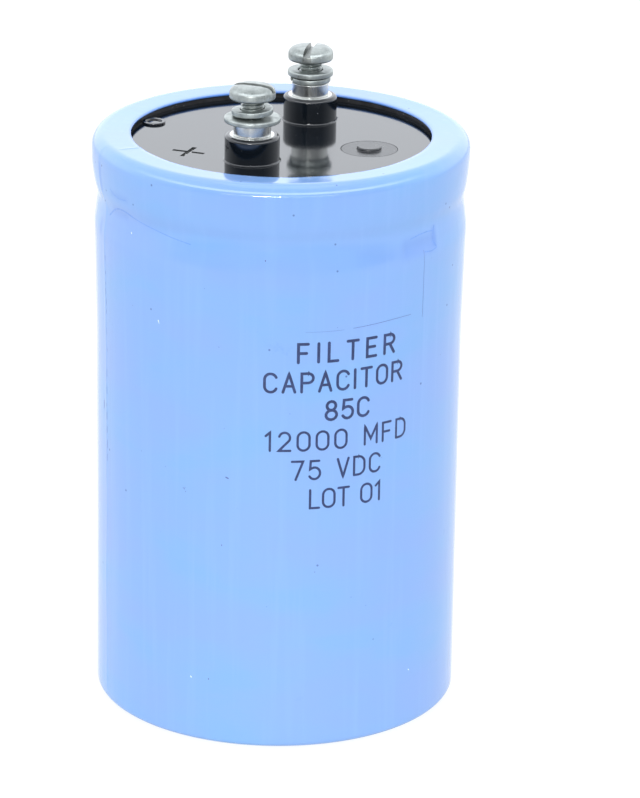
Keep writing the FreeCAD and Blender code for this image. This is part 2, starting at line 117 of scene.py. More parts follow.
# Washers
FLAT_WASHER_BORE_RADIUS = 2.65
LOCK_WASHER_BORE_RADIUS = 2.55
LOCK_WASHER_RADIUS = 4.24
LOCK_WASHER_THICKNESS = 1.19
# how far the wire climbs between its cut ends, and the angle of its gap
LOCK_WASHER_WINDING = {"positive": (0.9, 62.0), "negative": (0.3, 200.0)}
LOCK_WASHER_HALF_GAP = 8.0


# --- meshes ---


def linked(name, data):
    """A new object in the scene."""
    made = bpy.data.objects.new(name, data)
    bpy.context.scene.collection.objects.link(made)
    return made


def add_object(name, vertices, faces, material, body=BODY, smooth=True):
    """A mesh piece from millimetre vertices, riding on a CAD body."""
    mesh = bpy.data.meshes.new(name)
    mesh.from_pydata([tuple(c * MM for c in v) for v in vertices], [], faces)
    mesh.validate()
    mesh.polygons.foreach_set("use_smooth", [smooth] * len(mesh.polygons))
    mesh.materials.append(material)
    piece = linked(name, mesh)
    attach(piece, body)
    return piece


def grid_faces(rows, columns, close_rows=False):
    """Quads between the points of a rows x columns grid whose columns close on themselves."""
    faces = []
    for row in range(rows if close_rows else rows - 1):
        low, high = row * columns, (row + 1) % rows * columns
        for column in range(columns):
            beside = (column + 1) % columns
            faces.append((low + column, low + beside, high + beside, high + column))
    return faces


def capped_faces(rows, columns):
    """The faces of such a grid, with a face over each of its end rows."""
    faces = grid_faces(rows, columns)
    faces.append(tuple(reversed(range(columns))))
    faces.append(tuple(range(columns * (rows - 1), columns * rows)))
    return faces


def turned_ring(outline, segments, centre=(0.0, 0.0), warp=None):
    """Vertices and faces of a closed (radius, height) outline swept round a vertical axis."""
    vertices = []
    for radius, height in outline:
        for index in range(segments):
            angle = 2 * math.pi * index / segments
            r, z = warp(radius, height, angle) if warp else (radius, height)
            vertices.append((centre[0] + r * math.cos(angle), centre[1] + r * math.sin(angle), z))
    return vertices, grid_faces(len(outline), segments, close_rows=True)


def rounded_outline(corners, steps=5):
    """A closed outline through (radius, height, rounding) corners, with each corner rounded."""
    places = [Vector((radius, height)) for radius, height, _ in corners]
    outline = []
    for index, (_, _, rounding) in enumerate(corners):
        corner = places[index]
        if rounding == 0:
            outline.append(tuple(corner))
            continue
        before = (places[index - 1] - corner).normalized()
        after = (places[(index + 1) % len(places)] - corner).normalized()
        half_angle = before.angle(after) / 2
        centre = corner + (before + after).normalized() * (rounding / math.sin(half_angle))
        start = corner + before * (rounding / math.tan(half_angle)) - centre
        end = corner + after * (rounding / math.tan(half_angle)) - centre
        for step in range(steps + 1):
            blend = start.lerp(end, step / steps).normalized() * rounding
            outline.append(tuple(centre + blend))
    return outline


def apply_modifiers(piece, *modifiers):
    """Applies modifiers, given as (type, settings), to a piece's mesh."""
    for kind, settings in modifiers:
        modifier = piece.modifiers.new(kind, kind)
        for key, value in settings.items():
            setattr(modifier, key, value)
    bpy.context.view_layer.update()
    graph = bpy.context.evaluated_depsgraph_get()
    mesh = bpy.data.meshes.new_from_object(piece.evaluated_get(graph))
    piece.modifiers.clear()
    piece.data = mesh


# --- material building blocks ---


def set_stops(ramp, stops):
    """Gives a colour ramp node its (position, colour) stops."""
    elements = ramp.color_ramp.elements
    while len(elements) < len(stops):
        elements.new(0.5)
    for element, (position, colour) in zip(elements, stops):
        element.position = position
        element.color = (*colour, 1.0)


class Surface:
    """A Principled material, with short ways to add patterns, bumps and variation to it."""

    def __init__(self, name, colour, roughness, **sockets):
        self.material = bpy.data.materials.new(name)
        self.material.use_nodes = True
        self.nodes = self.material.node_tree.nodes
        self.links = self.material.node_tree.links
        self.shader = self.nodes["Principled BSDF"]
        self.shader.inputs["Base Color"].default_value = (*colour, 1.0)
        self.shader.inputs["Roughness"].default_value = roughness
        for name_, value in sockets.items():
            self.shader.inputs[name_.replace("_", " ")].default_value = value
        self.place = self.nodes.new("ShaderNodeTexCoord").outputs["Object"]
        self.colour = (*colour, 1.0)
        self.height = None

    def node(self, kind, inputs=(), **settings):
        made = self.nodes.new(kind)
        for key, value in settings.items():
            setattr(made, key, value)
        for key, value in dict(inputs).items():
            if isinstance(value, bpy.types.NodeSocket):
                self.links.new(value, made.inputs[key])
            else:
                made.inputs[key].default_value = value
        return made

    def stretched(self, scale, turn=(0.0, 0.0, 0.0)):
        """Object coordinates scaled by (x, y, z), in repeats per metre."""
        inputs = {"Vector": self.place, "Scale": scale, "Rotation": turn}
        return self.node("ShaderNodeMapping", inputs).outputs["Vector"]

    def noise(self, scale, detail=3.0, roughness=0.5, distortion=0.0, where=None):
        inputs = {
            "Vector": where or self.place,
            "Scale": scale,
            "Detail": detail,
            "Roughness": roughness,
            "Distortion": distortion,
        }
        return self.node("ShaderNodeTexNoise", inputs).outputs["Fac"]

    def streaks(self, detail, scale, turn=(0.0, 0.0, 0.0)):
        """Noise drawn out along the axes in which its scale is low."""
        return self.noise(1.0, detail, where=self.stretched(scale, turn))

    def spots(self, scale, radius):
        """1 inside scattered round spots of about this radius, 0 elsewhere."""
        made = self.node("ShaderNodeTexVoronoi", {"Vector": self.place, "Scale": scale})
        return self.ramp(made.outputs["Distance"], ((radius * 0.6, 1.0), (radius, 0.0)))

    def ramp(self, factor, stops):
        """A value ramp through (position, value) stops."""
        made = self.node("ShaderNodeValToRGB", {"Fac": factor})
        set_stops(made, [(position, (value,) * 3) for position, value in stops])
        return made.outputs["Color"]

    def math(self, operation, one, other):
        inputs = {0: one, 1: other}
        return self.node("ShaderNodeMath", inputs, operation=operation).outputs["Value"]

    def rise(self, value, start, end, **settings):
        """0 up to start, then climbing to 1 at end; start may be the higher of the two."""
        inputs = {"Value": value, "From Min": start, "From Max": end}
        return self.node("ShaderNodeMapRange", inputs, **settings).outputs["Result"]

    def tint(self, factor, colour, strength):
        """Mixes a colour over the base colour where the factor is high."""
        share = self.math("MULTIPLY", factor, strength)
        inputs = {0: share, 6: self.colour, 7: (*colour, 1.0)}
        self.colour = self.node("ShaderNodeMix", inputs, data_type="RGBA").outputs[2]
        self.links.new(self.colour, self.shader.inputs["Base Color"])

    def stain(self, pattern, low, high, colour, strength):
        """Tints where a pattern is high: not at all up to low, and fully from high on."""
        self.tint(self.ramp(pattern, ((low, 0.0), (high, 1.0))), colour, strength)

    def patch(self, angle, half_angle, height, half_height, soft):
        """A soft-edged patch on the sleeve, 1 inside: degrees from the front, and millimetres."""
        split = self.node("ShaderNodeSeparateXYZ", {"Vector": self.place})
        forward = self.math("MULTIPLY", split.outputs["Y"], -1.0)
        around = self.math("ARCTAN2", split.outputs["X"], forward)
        reach = (math.radians(half_angle), half_height * MM)
        fade = (soft / SLEEVE_RADIUS, soft * MM)
        shares = []
        for index, (place, middle) in enumerate(
            ((around, math.radians(angle)), (split.outputs["Z"], height * MM))
        ):
            gap = self.math("ABSOLUTE", self.math("SUBTRACT", place, middle), 0.0)
            outside, inside = reach[index] + fade[index], reach[index] - fade[index]
            shares.append(self.rise(gap, outside, inside, interpolation_type="SMOOTHSTEP"))
        return self.math("MULTIPLY", *shares)

    def vary_roughness(self, factor, low, high):
        made = self.node("ShaderNodeMapRange", {"Value": factor, "To Min": low, "To Max": high})
        self.links.new(made.outputs["Result"], self.shader.inputs["Roughness"])

    def bump(self, height, distance, strength):
        """Adds a bump; distance is its height in millimetres."""
        inputs = {"Height": height, "Distance": distance * MM, "Strength": strength}
        made = self.node("ShaderNodeBump", inputs)
        if self.height is not None:
            self.links.new(self.height, made.inputs["Normal"])
        self.height = made.outputs["Normal"]
        self.links.new(self.height, self.shader.inputs["Normal"])


# --- the materials ---


def shade(colour, factor, lift=0.0):
    return tuple(min(1.0, channel * factor + lift) for channel in colour)


# Soft shaded folds in the sleeve: angle, half its width in degrees, height, half its height,
# softness and strength
FOLD_SHADE = (0.105, 0.215, 0.55)
SOFT_FOLDS = (
    (47.5, 7.5, 106.7, 2.0, 1.2, 0.38),
    (33.0, 9.0, 106.4, 1.6, 1.6, 0.16),
    (54.6, 1.0, 107.6, 2.2, 0.7, 0.45),
    (-72.6, 1.0, 105.5, 1.4, 0.9, 0.6),
    (-70.6, 0.6, 116.5, 3.2, 0.8, 0.6),
    (-58.5, 4.5, 111.0, 0.8, 1.0, 0.35),
    (-28.0, 18.0, 111.5, 1.2, 2.4, 0.10),
    (-58.0, 5.0, 114.6, 0.5, 0.9, 0.35),
    (-140.0, 9.0, 107.5, 2.6, 1.4, 0.35),
    (112.0, 6.0, 107.8, 2.4, 1.4, 0.35),
    (155.0, 5.0, 107.6, 2.2, 1.3, 0.35),
)


def sleeve_vinyl():
    """Glossy light-blue PVC: faint mottling, drawing streaks along the tube, scuffs and dust."""
    surface = Surface("sleeve_vinyl", (0.163, 0.309, 0.585), 0.11, IOR=1.6)
    cloudy = surface.streaks(4.0, (30.0, 30.0, 75.0))
    surface.stain(cloudy, 0.42, 0.62, (0.176, 0.296, 0.59), 0.8)
    surface.tint(surface.ramp(cloudy, ((0.30, 1.0), (0.46, 0.0))), (0.146, 0.310, 0.585), 0.8)
    streaks = surface.streaks(3.0, (420.0, 420.0, 16.0))
    surface.stain(streaks, 0.52, 0.75, (0.188, 0.330, 0.61), 0.5)
    # shade in the folds where the tube is gathered over the bead
    for *shape, strength in SOFT_FOLDS:
        surface.tint(surface.patch(*shape), FOLD_SHADE, strength)
    # painted shade: near the openings the vinyl is tinted deep blue, the colour of the lip's
    # shadowed inner edge
    flat = {0: surface.place, 1: (1.0, 1.0, 0.0)}
    level = surface.node("ShaderNodeVectorMath", flat, operation="MULTIPLY")
    reach = surface.node("ShaderNodeVectorMath", {0: level.outputs["Vector"]}, operation="LENGTH")
    outside, inside = ((TOP_OPENING_RADIUS + past) * MM for past in (0.5, 0.2))
    lip_edge_shade = surface.rise(reach.outputs["Value"], outside, inside)
    surface.tint(lip_edge_shade, (0.035, 0.15, 0.5), 0.7)
    grime = surface.noise(95.0, detail=7.0, roughness=0.7)
    surface.stain(grime, 0.66, 0.76, (0.13, 0.25, 0.52), 0.5)
    dust = surface.spots(170.0, 0.05)
    surface.tint(dust, (0.05, 0.09, 0.25), 0.75)
    scuffs = surface.noise(60.0, detail=5.0, roughness=0.6, distortion=0.6)
    surface.vary_roughness(surface.ramp(scuffs, ((0.5, 0.0), (0.8, 1.0))), 0.045, 0.17)
    surface.bump(surface.noise(110.0, detail=2.0), 0.03, 0.35)
    surface.bump(streaks, 0.01, 0.3)
    surface.bump(surface.noise(1400.0, detail=2.0), 0.003, 0.35)
    return surface.material


def print_ink():
    """Dark navy stamping ink, a little thin in places."""
    surface = Surface("print_ink", (0.012, 0.024, 0.085), 0.4)
    thin = surface.noise(900.0, detail=5.0, roughness=0.7)
    surface.stain(thin, 0.45, 0.72, (0.035, 0.07, 0.22), 0.5)
    surface.bump(thin, 0.006, 0.5)
    return surface.material


def sleeve_mark_or_shade(name, colour, roughness):
    """An uneven mark left on the sleeve by folding or handling, or painted shade along a crease."""
    surface = Surface(name, colour, roughness)
    uneven = surface.noise(2600.0, detail=3.0)
    surface.stain(uneven, 0.4, 0.75, shade(colour, 1.35, 0.02), 0.6)
    return surface.material


def header_phenolic():
    """Glossy black phenolic moulding with fine scratches, moulding flow and a little dust."""
    surface = Surface("header_phenolic", (0.0028, 0.0045, 0.007), 0.07, IOR=1.62)
    flow = surface.noise(70.0, detail=4.0, distortion=1.2)
    surface.stain(flow, 0.45, 0.8, (0.006, 0.009, 0.013), 0.6)
    dust = surface.spots(520.0, 0.07)
    surface.tint(dust, (0.30, 0.31, 0.33), 0.35)
    # dust lies in the sunk marks, below the face
    height = surface.node("ShaderNodeSeparateXYZ", {"Vector": surface.place}).outputs["Z"]
    sunk = surface.rise(height, (HEADER_FACE - 0.05) * MM, (HEADER_FACE - 0.2) * MM)
    surface.tint(sunk, (0.09, 0.091, 0.089), 0.8)
    surface.vary_roughness(surface.noise(240.0, detail=6.0, roughness=0.65), 0.05, 0.13)
    scratches = surface.streaks(2.0, (2600.0, 60.0, 60.0), (0, 0, 0.7))
    surface.bump(surface.ramp(scratches, ((0.6, 0.0), (0.72, 1.0))), 0.004, 0.25)
    surface.bump(flow, 0.01, 0.35)
    return surface.material


def rubber(name, colour, roughness):
    """Moulded black rubber with a pale bloom and dust."""
    surface = Surface(name, colour, roughness, IOR=1.5)
    bloom = surface.noise(420.0, detail=6.0, roughness=0.7)
    surface.stain(bloom, 0.5, 0.78, shade(colour, 3.0, 0.02), 0.6)
    surface.tint(surface.spots(900.0, 0.12), (0.4, 0.4, 0.4), 0.4)
    surface.vary_roughness(bloom, roughness * 0.75, min(1.0, roughness * 1.3))
    surface.bump(surface.noise(1500.0, detail=4.0), 0.02, 0.5)
    return surface.material


def turned_aluminium(name):
    """Bright turned aluminium: fine lathe rings round a vertical axis, and oxide blotches."""
    surface = Surface(name, (0.56, 0.57, 0.55), 0.2, Metallic=1.0)
    rings = surface.streaks(2.0, (8.0, 8.0, 3200.0))
    oxide = surface.noise(900.0, detail=6.0, roughness=0.7)
    surface.stain(oxide, 0.5, 0.75, (0.30, 0.31, 0.33), 0.7)
    surface.vary_roughness(oxide, 0.12, 0.3)
    surface.bump(rings, 0.005, 0.35)
    return surface.material


def zinc_plate(name, dirt_and_shade=0.0):
    """Old zinc plating on steel: dull grey, mottled, with pale bloom, and perhaps a darkening that
    is partly dirt and partly painted shade.
    """
    surface = Surface(name, (0.36, 0.39, 0.375), 0.4, Metallic=0.9)
    blotches = surface.noise(480.0, detail=6.0, roughness=0.65)
    surface.stain(blotches, 0.42, 0.62, (0.22, 0.24, 0.235), 0.75)
    bloom = surface.noise(1300.0, detail=7.0, roughness=0.75)
    surface.stain(bloom, 0.58, 0.70, (0.55, 0.58, 0.56), 0.65)
    surface.tint(surface.spots(700.0, 0.13), (0.09, 0.095, 0.09), 0.6)
    if dirt_and_shade:
        # darker in the slot: partly dirt, partly painted shade of the slot's walls and floor
        surface.tint(surface.ramp(bloom, ((0.3, 1.0), (0.75, 0.6))), (0.10, 0.095, 0.085), dirt_and_shade)
    surface.vary_roughness(blotches, 0.27, 0.5)
    surface.bump(surface.noise(900.0, detail=5.0), 0.03, 0.45)
    surface.bump(surface.noise(5200.0, detail=3.0), 0.006, 0.5)
    return surface.material


def drawn_aluminium(name, colour, roughness, stretch):
    """Drawn or rolled aluminium with lines along its working direction."""
    surface = Surface(name, colour, roughness, Metallic=1.0)
    lines = surface.streaks(3.0, stretch)
    surface.stain(lines, 0.45, 0.75, shade(colour, 0.72), 0.6)
    surface.vary_roughness(lines, roughness * 0.7, roughness * 1.4)
    surface.bump(lines, 0.01, 0.5)
    return surface.material


def etched_foil(name, colour):
    """Etched foil: matt, with a fine crystalline grain."""
    surface = Surface(name, colour, 0.55, Metallic=0.85)
    grain = surface.noise(3800.0, detail=5.0, roughness=0.7)
    surface.stain(grain, 0.4, 0.7, shade(colour, 0.6), 0.6)
    surface.bump(grain, 0.01, 0.6)
    return surface.material


def fibrous(name, colour, fibre_scale):
    """Paper or card: long fibres in a paler and a darker shade, slightly stained."""
    surface = Surface(name, colour, 0.85)
    fibres = surface.streaks(5.0, (fibre_scale, fibre_scale, 160.0))
    surface.stain(fibres, 0.52, 0.7, shade(colour, 0.55), 0.6)
    surface.stain(surface.noise(60.0, detail=4.0), 0.4, 0.8, shade(colour, 1.25), 0.4)
    surface.bump(fibres, 0.02, 0.6)
    return surface.material


def pressed_card(name, colour):
    """Pressed insulating card: flat fibres every way and small flecks."""
    surface = Surface(name, colour, 0.7)
    fibres = surface.noise(900.0, detail=7.0, roughness=0.75, distortion=1.5)
    surface.stain(fibres, 0.45, 0.65, shade(colour, 0.5), 0.55)
    surface.tint(surface.spots(800.0, 0.12), shade(colour, 1.5), 0.6)
    surface.bump(fibres, 0.03, 0.5)
    return surface.material


def tape_film():
    """Thin amber tape with faint ripples."""
    surface = Surface("closing_tape", (0.72, 0.55, 0.12), 0.25, Transmission_Weight=0.1)
    ripples = surface.streaks(2.0, (60.0, 60.0, 900.0))
    surface.stain(ripples, 0.45, 0.7, (0.6, 0.43, 0.08), 0.5)
    surface.bump(ripples, 0.02, 0.5)
    return surface.material


def potting_compound():
    """Dark, lumpy anchoring compound."""
    surface = Surface("compound", (0.018, 0.015, 0.012), 0.35)
    lumps = surface.noise(220.0, detail=5.0)
    surface.stain(lumps, 0.5, 0.75, (0.05, 0.04, 0.03), 0.6)
    surface.vary_roughness(lumps, 0.2, 0.6)
    surface.bump(lumps, 0.15, 0.5)
    return surface.material


def floor_paint():
    """Pale board that glows like a lit product table, fading towards the camera."""
    surface = Surface("floor", (0.14, 0.14, 0.14), 0.6)
    surface.tint(surface.noise(3.0, detail=2.0), (0.16, 0.16, 0.16), 0.5)
    surface.shader.inputs["Emission Color"].default_value = (0.97, 0.985, 1.0, 1.0)
    surface.shader.inputs["Specular IOR Level"].default_value = 0.1
    depth = surface.node("ShaderNodeSeparateXYZ", {"Vector": surface.place}).outputs["Y"]
    fade = {"Value": depth, "From Min": -0.55, "From Max": -0.2, "To Min": 0.15, "To Max": 0.86}
    glow = surface.node("ShaderNodeMapRange", fade).outputs["Result"]
    surface.links.new(glow, surface.shader.inputs["Emission Strength"])
    return surface.material


# --- sleeve ---

# Wall radius against height, above the straight part: a slight swell, the dip over the can's
# bead, and the wider rim
WALL_HEIGHTS = (0.0, 78.0, 92.0, 99.5, 104.2, 107.2, 110.4, 113.2, 115.6, 118.2, 120.0)
WALL_RADII = (38.5, 38.5, 38.72, 38.85, 38.95, 38.6, 38.32, 38.85, 39.14, 39.35, 39.42)
FLAT_CREASE_ANGLE = -69.0
TOP_CREASE_ANGLE = -65.6


def smooth_step(value):
    """0 up to 0 and 1 from 1, with a smooth climb between."""
    value = min(1.0, max(0.0, value))
    return value * value * (3 - 2 * value)


def hump(value, centre, half_width):
    """A smooth bump of height 1 at centre that falls to 0 at half_width from it."""
    return smooth_step(1 - abs(value - centre) / half_width)


def wall_radius(height):
    """The sleeve's mean outer radius, as a smooth curve through WALL_RADII."""
    for index in range(len(WALL_HEIGHTS) - 1):
        if height <= WALL_HEIGHTS[index + 1]:
            break
    low, high = WALL_HEIGHTS[index], WALL_HEIGHTS[index + 1]
    share = min(1.0, max(0.0, (height - low) / (high - low)))
    slopes = []
    for knot in (index, index + 1):
        before, after = max(knot - 1, 0), min(knot + 1, len(WALL_RADII) - 1)
        rise = WALL_RADII[after] - WALL_RADII[before]
        slopes.append(rise / (WALL_HEIGHTS[after] - WALL_HEIGHTS[before]) * (high - low))
    one, two = share * share, share**3
    return (
        (2 * two - 3 * one + 1) * WALL_RADII[index]
        + (two - 2 * one + share) * slopes[0]
        + (3 * one - 2 * two) * WALL_RADII[index + 1]
        + (two - one) * slopes[1]
    )


def angle_gap(one, other):
    """Degrees from other to one, the shorter way round."""
    return (one - other + 180) % 360 - 180


def ring_noise(angle, spread, level):
    """Noise that closes on itself round the sleeve."""
    around = math.radians(angle)
    return noise.noise(Vector((math.sin(around) * spread, math.cos(around) * spread, level)))


def wall_offset(angle, height):
    """How far the sleeve stands out of its mean radius: slow waves, creases and pleats."""
    around = math.radians(angle)
    sample = Vector((math.sin(around) * 1.6, math.cos(around) * 1.6, height / 26.0))
    offset = 0.055 * noise.noise(sample) + 0.02 * noise.noise(sample * 3.1)
    # the dip over the bead isn't quite even
    offset += 0.04 * ring_noise(angle, 5, 7.0) * hump(height, 110.0, 6.0)
    # edge of the tube as it was folded flat before it was shrunk on
    for crease, size in ((FLAT_CREASE_ANGLE, 0.09), (FLAT_CREASE_ANGLE + 180, 0.07)):
        wander = 0.7 * noise.noise(Vector((crease, 0.0, height / 18.0)))
        # it leans back where it climbs over the rim
        wander -= 3.0 * smooth_step((height - 108.0) / 8.0)
        gap = abs(angle_gap(angle, crease + wander))
        offset += size * smooth_step(1 - gap / 1.1)
    # the rim stands out a little on the left, where the tube was folded
    offset += 0.25 * hump(angle_gap(angle, -80.0), 0.0, 16.0) * hump(height, 117.5, 6.5)
    # pleats where the tube is gathered into the bead's dip
    for start, end, low, high, depth in PLEATS:
        middle, half = (start + end) / 2, (end - start) / 2
        across = smooth_step((half - abs(angle_gap(angle, middle))) / 1.2)
        offset -= depth * across * hump(height, (low + high) / 2, (high - low) / 2)
    return offset


def outer_radius(angle, height):
    return wall_radius(height) + wall_offset(angle, height)


# (first angle, last angle, lowest, highest, depth) of each gathered pleat
PLEATS = (
    (40.0, 55.5, 104.3, 109.2, 0.16),
    (-79.0, -71.5, 104.6, 111.5, 0.05),
    (106.0, 118.0, 104.5, 111.0, 0.12),
    (150.0, 161.0, 105.0, 110.5, 0.14),
    (-140.0, -122.0, 104.2, 110.8, 0.14),
)


def lip_offset(angle, share):
    """How the lap rises and falls; share is 0 at the shoulder and 1 at the lip."""
    lift = 0.03 * ring_noise(angle, 2.2, 3.0) * share - 0.20 * share
    lift -= 0.1 * smooth_step((share - 0.86) / 0.14)
    gap = abs(angle_gap(angle, TOP_CREASE_ANGLE - 0.6 * share))
    return lift + 0.10 * smooth_step(1 - gap / 1.0) * smooth_step(share * 4)


def front_drop(angle):
    """The lap over the rim sits a little lower at the front."""
    return 0.28 * hump(angle_gap(angle, 0.0), 0.0, 95.0)


def lip_radius(angle):
    """Radius of the sleeve's top opening, which is a little uneven and wider at the front."""
    front = 0.2 * hump(angle_gap(angle, 0.0), 0.0, 60.0)
    uneven = 0.08 * ring_noise(angle, 1.5, 11.0) + 0.04 * ring_noise(angle, 9, 5.0)
    return TOP_OPENING_RADIUS + front + uneven


def base_lift(angle, share):
    """Small radial pleats in the part of the sleeve that is turned in under the base."""
    return max(0.0, ring_noise(angle, 16, 2.0)) * 0.28 * share


def sleeve_column(angle):
    """The sleeve's closed section at one angle, from the base opening up the outside and back."""
    column = []
    corner_centre = SLEEVE_RADIUS - BASE_CORNER
    # out under the base
    for step in range(8):
        share = 1 - step / 8
        radius = BASE_OPENING_RADIUS + (corner_centre - BASE_OPENING_RADIUS) * (1 - share)
        column.append((radius, base_lift(angle, share)))
    # round the corner and up the wall
    for step in range(7):
        turn = math.pi / 2 * step / 6
        radius = corner_centre + BASE_CORNER * math.sin(turn)
        column.append((radius, BASE_CORNER * (1 - math.cos(turn))))
    crown = SLEEVE_TOP - front_drop(angle)
    top = crown - SHOULDER
    coarse, fine = np.linspace(BASE_CORNER, 92.0, 70), np.linspace(92.0, top, 84)
    for height in (*coarse[1:], *fine[1:]):
        column.append((outer_radius(angle, height), height))
    # over the shoulder, along the lap and round its lip
    rim = column[-1][0]
    for step in range(1, 11):
        turn = math.pi / 2 * step / 10
        column.append((rim - SHOULDER * (1 - math.cos(turn)), top + SHOULDER * math.sin(turn)))
    shoulder, lip = rim - SHOULDER, lip_radius(angle)
    for step in range(1, 19):
        share = step / 18
        radius = shoulder + (lip + LIP_ROUNDING - shoulder) * share
        column.append((radius, crown + lip_offset(angle, share)))
    lip_height = column[-1][1]
    for step in range(1, 7):
        turn = math.pi * step / 6
        radius = lip + LIP_ROUNDING - LIP_ROUNDING * math.sin(turn)
        column.append((radius, lip_height - SLEEVE_WALL / 2 * (1 - math.cos(turn))))
    # back down the inside
    column.append((shoulder, crown - SLEEVE_WALL))
    column.append((rim - SLEEVE_WALL, top))
    for height in np.linspace(top, BASE_CORNER, 30)[1:]:
        column.append((outer_radius(angle, height) - SLEEVE_WALL, height))
    column.append((corner_centre, SLEEVE_WALL))
    column.append((BASE_OPENING_RADIUS, base_lift(angle, 1.0) + SLEEVE_WALL))
    return column


def make_sleeve(material):
    columns = [sleeve_column(360 * index / AROUND) for index in range(AROUND)]
    rows = len(columns[0])
    vertices = []
    for row in range(rows):
        for index, column in enumerate(columns):
            around = 2 * math.pi * index / AROUND
            radius, height = column[row]
            vertices.append((radius * math.sin(around), -radius * math.cos(around), height))
    sleeve = add_object("shrink_sleeve", vertices, grid_faces(rows, AROUND, True), material)
    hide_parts("sleeve")


# --- print and marks on the sleeve ---


def arc(centre_x, centre_y, radius_x, radius_y, start, end, steps=14):
    """Points along an elliptical arc between two angles in degrees."""
    points = []
    for step in range(steps + 1):
        angle = math.radians(start + (end - start) * step / steps)
        x, y = centre_x + radius_x * math.cos(angle), centre_y + radius_y * math.sin(angle)
        points.append((x, y))
    return points


def glyph_strokes():
    """Plain single-line letters in a box 1 high: {letter: (width, [stroke, ...])}."""
    loop = arc(0.31, 0.69, 0.31, 0.31, 0, 180) + arc(0.31, 0.31, 0.31, 0.31, 180, 360)
    bowl = [(0, 1), (0.33, 1)] + arc(0.33, 0.745, 0.27, 0.255, 90, -90) + [(0, 0.49)]
    return {
        "A": (0.62, [[(0, 0), (0.31, 1), (0.62, 0)], [(0.11, 0.33), (0.51, 0.33)]]),
        "C": (0.60, [arc(0.31, 0.69, 0.31, 0.31, 22, 180) + arc(0.31, 0.31, 0.31, 0.31, 180, 338)]),
        "D": (0.60, [[(0, 0), (0, 1), (0.24, 1)] + arc(0.24, 0.64, 0.36, 0.36, 90, 0)
                     + arc(0.24, 0.36, 0.36, 0.36, 0, -90) + [(0, 0)]]),
        "E": (0.52, [[(0.52, 1), (0, 1), (0, 0), (0.52, 0)], [(0, 0.52), (0.44, 0.52)]]),
        "F": (0.50, [[(0.50, 1), (0, 1), (0, 0)], [(0, 0.5), (0.42, 0.5)]]),
        "I": (0.04, [[(0.02, 0), (0.02, 1)]]),
        "L": (0.48, [[(0, 1), (0, 0), (0.48, 0)]]),
        "M": (0.72, [[(0, 0), (0, 1), (0.36, 0.28), (0.72, 1), (0.72, 0)]]),
        "O": (0.62, [loop + loop[:1]]),
        "P": (0.58, [[(0, 0)] + bowl]),
        "R": (0.60, [[(0, 0)] + bowl, [(0.32, 0.49), (0.60, 0)]]),
        "T": (0.58, [[(0, 1), (0.58, 1)], [(0.29, 1), (0.29, 0)]]),
        "V": (0.60, [[(0, 1), (0.30, 0), (0.60, 1)]]),
        "0": (0.62, [loop + loop[:1]]),
        "1": (0.34, [[(0.04, 0.80), (0.26, 1), (0.26, 0)]]),
        "2": (0.60, [arc(0.30, 0.71, 0.28, 0.29, 165, -32) + [(0, 0), (0.60, 0)]]),
        "5": (0.58, [[(0.52, 1), (0.08, 1), (0.05, 0.55)]
                     + arc(0.28, 0.32, 0.30, 0.32, 118, -150)]),
        "7": (0.58, [[(0, 1), (0.58, 1), (0.20, 0)]]),
        "8": (0.60, [arc(0.30, 0.76, 0.24, 0.24, -90, 270), arc(0.30, 0.26, 0.29, 0.26, 90, 450)]),
        " ": (0.30, []),
    }


GLYPHS = glyph_strokes()

# (words, first and last place along the sleeve from the front, stroke width)
PRINT_LINES = (
    ("FILTER", 4.0, 25.2, 0.62),
    ("CAPACITOR", -2.8, 27.4, 0.58),
    ("85C", 9.85, 19.3, 0.6),
    ("12000 MFD", -2.6, 28.8, 0.5),
    ("75 VDC", 3.0, 22.3, 0.5),
    ("LOT 01", 6.85, 22.65, 0.5),
)


def resampled(points, spacing):
    """The same path with points at most spacing apart."""
    path = [Vector(points[0])]
    for start, end in zip(points, points[1:]):
        start, end = Vector(start), Vector(end)
        count = max(1, math.ceil((end - start).length / spacing))
        path += [start.lerp(end, step / count) for step in range(1, count + 1)]
    return path


def ribbon(points, width):
    """A flat stroke with round ends: 2-D points and faces, left and right of the path."""
    path = resampled(points, 0.3)
    half = width / 2
    left, right = [], []
    for index, here in enumerate(path):
        before = path[max(index - 1, 0)]
        after = path[min(index + 1, len(path) - 1)]
        one = (here - before).normalized() if index else (after - here).normalized()
        other = (after - here).normalized() if index < len(path) - 1 else one
        along = (one + other).normalized() if (one + other).length > 1e-6 else one
        reach = half / max(0.45, along.dot(one))
        across = Vector((-along.y, along.x)) * reach
        left.append(here + across)
        right.append(here - across)
    flat = left + right
    count = len(path)
    faces = [(i, i + count, i + count + 1, i + 1) for i in range(count - 1)]
    for end, heading in ((0, path[0] - path[1]), (count - 1, path[-1] - path[-2])):
        heading = heading.normalized()
        side = Vector((-heading.y, heading.x))
        cap = []
        for step in range(1, 6):
            turn = math.pi * step / 6
            cap.append(path[end] + side * half * math.cos(turn) + heading * half * math.sin(turn))
        first = len(flat)
        flat += cap
        corners = (end + count, end) if end == 0 else (end, end + count)
        faces.append((corners[0], *range(first, first + len(cap)), corners[1]))
    return flat, faces


def wrapped(point, lift):
    """A flat (along, up) point laid on the sleeve and lifted off it."""
    around = point.x / SLEEVE_RADIUS
    radius = outer_radius(math.degrees(around), point.y) + lift
    return (radius * math.sin(around), -radius * math.cos(around), point.y)


